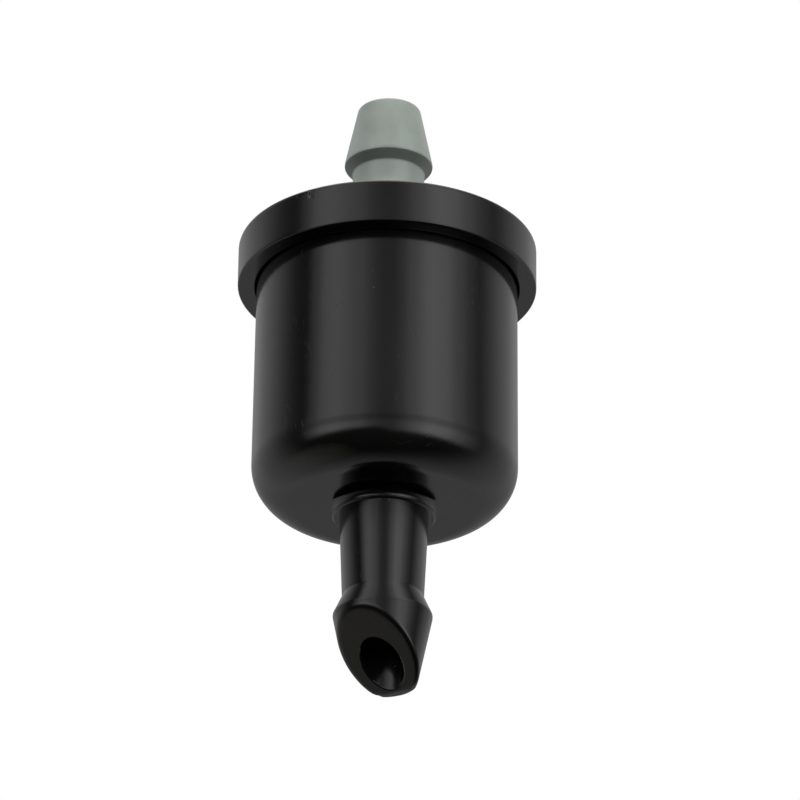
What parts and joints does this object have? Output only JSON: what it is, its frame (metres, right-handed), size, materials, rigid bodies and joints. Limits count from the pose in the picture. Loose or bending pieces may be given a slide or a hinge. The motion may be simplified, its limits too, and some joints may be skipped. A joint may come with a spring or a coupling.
{
  "type": "drip emitter",
  "caption": "Barbed drip emitter: cup-shaped body with a wide cap ring, grey barbed outlet and slant-cut barbed inlet; sprung anti-drain check and pressure-compensating diaphragm inside.",
  "frame": {"origin": "on the emitter's axis, in the flare of the inlet stem just under the collar, where the supply pipe's wall seats", "axes": "+Z along the axis, from the inlet barb towards the outlet barb; the slanted cut of the inlet tip looks towards -Y, a little towards -X, and down"},
  "size_m": [0.0158, 0.0158, 0.0332],
  "materials": {
    "black_shell": "glossy moulded polypropylene with fine handling scratches",
    "black_cap": "glossy moulded polypropylene, a little duller than the bowl",
    "grey_outlet": "satin moulded plastic, slightly green grey",
    "grey_core": "satin moulded plastic",
    "natural_plastic": "unpigmented acetal, satin",
    "silicone": "translucent amber silicone",
    "black_rubber": "moulded seal rubber, dull",
    "spring_steel": "drawn stainless wire",
    "steel_mesh": "woven stainless mesh"
  },
  "bodies": {
    "shell": {"body": "black_shell", "cap": "black_cap", "outlet_fitting": "grey_outlet", "cap_seal_ring": "black_rubber", "outlet_seal_ring": "black_rubber", "core_gasket": "silicone", "check_spring": "spring_steel", "valve_guide": "natural_plastic", "filter_frame": "natural_plastic", "filter_mesh": "steel_mesh", "labyrinth_core": "grey_core", "metering_seat": "natural_plastic"},
    "plunger": {"check_plunger": "natural_plastic", "plunger_seal": "black_rubber"},
    "membrane": {"diaphragm": "silicone"}
  },
  "joints": [
    {"name": "check_lift", "type": "slide", "parent": "shell", "child": "plunger", "axis": [0, 0, 1], "range_m": [0, 0.0007], "stiffness_N_per_m": 150, "springref_m": -0.0014, "deforming": ["check_spring"]},
    {"name": "diaphragm_lift", "type": "slide", "parent": "shell", "child": "membrane", "axis": [0, 0, 1], "range_m": [0, 0.00025]}
  ]
}
